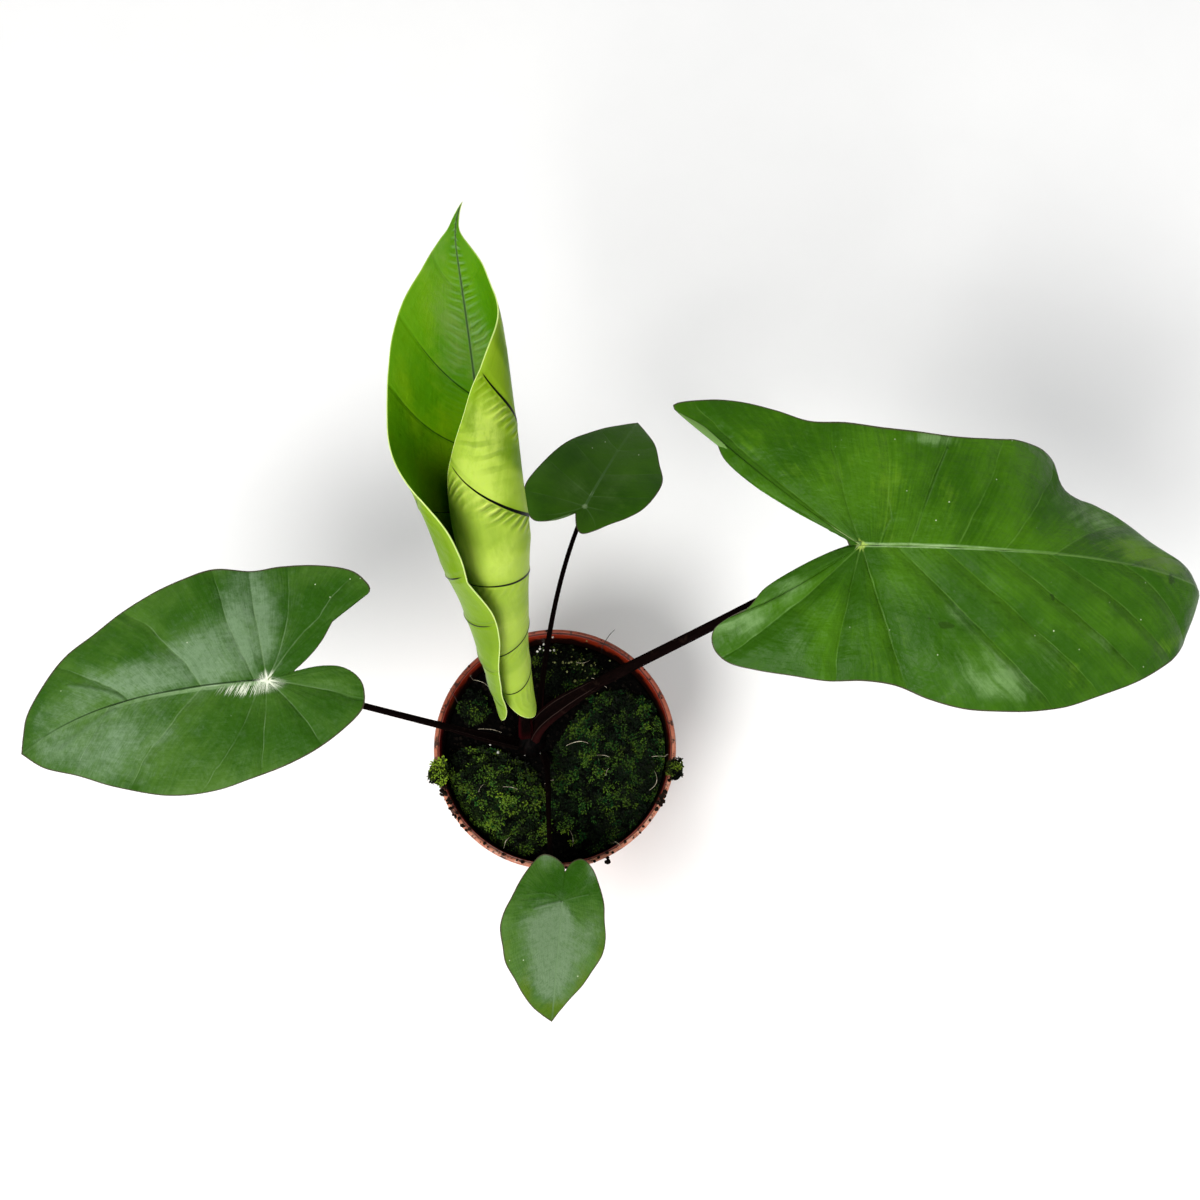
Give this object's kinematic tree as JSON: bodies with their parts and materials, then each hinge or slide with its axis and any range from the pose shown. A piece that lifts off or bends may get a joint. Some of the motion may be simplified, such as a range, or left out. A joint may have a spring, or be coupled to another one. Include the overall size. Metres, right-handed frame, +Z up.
{
  "type": "potted giant taro plant",
  "caption": "Young giant taro with arrow-shaped leaves on dark petioles and a new leaf still half rolled up, in a plastic nursery pot with moss on the soil.",
  "frame": {"origin": "centre of the pot's base, on the surface that it stands on", "axes": "+Z up; +X towards the largest leaf; +Y away from the viewer, towards the new leaf's tip"},
  "size_m": [0.5052, 0.2827, 0.4016],
  "materials": {
    "pot_plastic": "satin terracotta-coloured thin plastic, scuffed",
    "soil": "loose dark potting soil with perlite and bark",
    "moss": "leafy green moss",
    "stem": "fleshy purple-brown stem base",
    "petiole": "smooth, near-black purple, satin",
    "leaf_right": "mid green, glossy, furrowed between the side veins",
    "leaf_left": "mid green with a grey-green bloom and pale veins",
    "leaf_front": "grey-green, satin",
    "leaf_back": "deep green, satin",
    "leaf_new": "fresh yellow-green, satin, with dark side veins"
  },
  "bodies": {
    "root": {"pot": "pot_plastic", "soil": "soil", "moss_front_left": "moss", "moss_right": "moss", "moss_back": "moss", "moss_back_left": "moss", "moss_rim_left": "moss", "moss_rim_right": "moss", "stem_base": "stem", "petiole_right": "petiole", "petiole_left": "petiole", "petiole_front": "petiole", "petiole_back": "petiole", "petiole_new": "petiole", "blade_right": "leaf_right", "blade_left": "leaf_left", "blade_front": "leaf_front", "blade_back": "leaf_back", "blade_new": "leaf_new"}
  },
  "joints": []
}
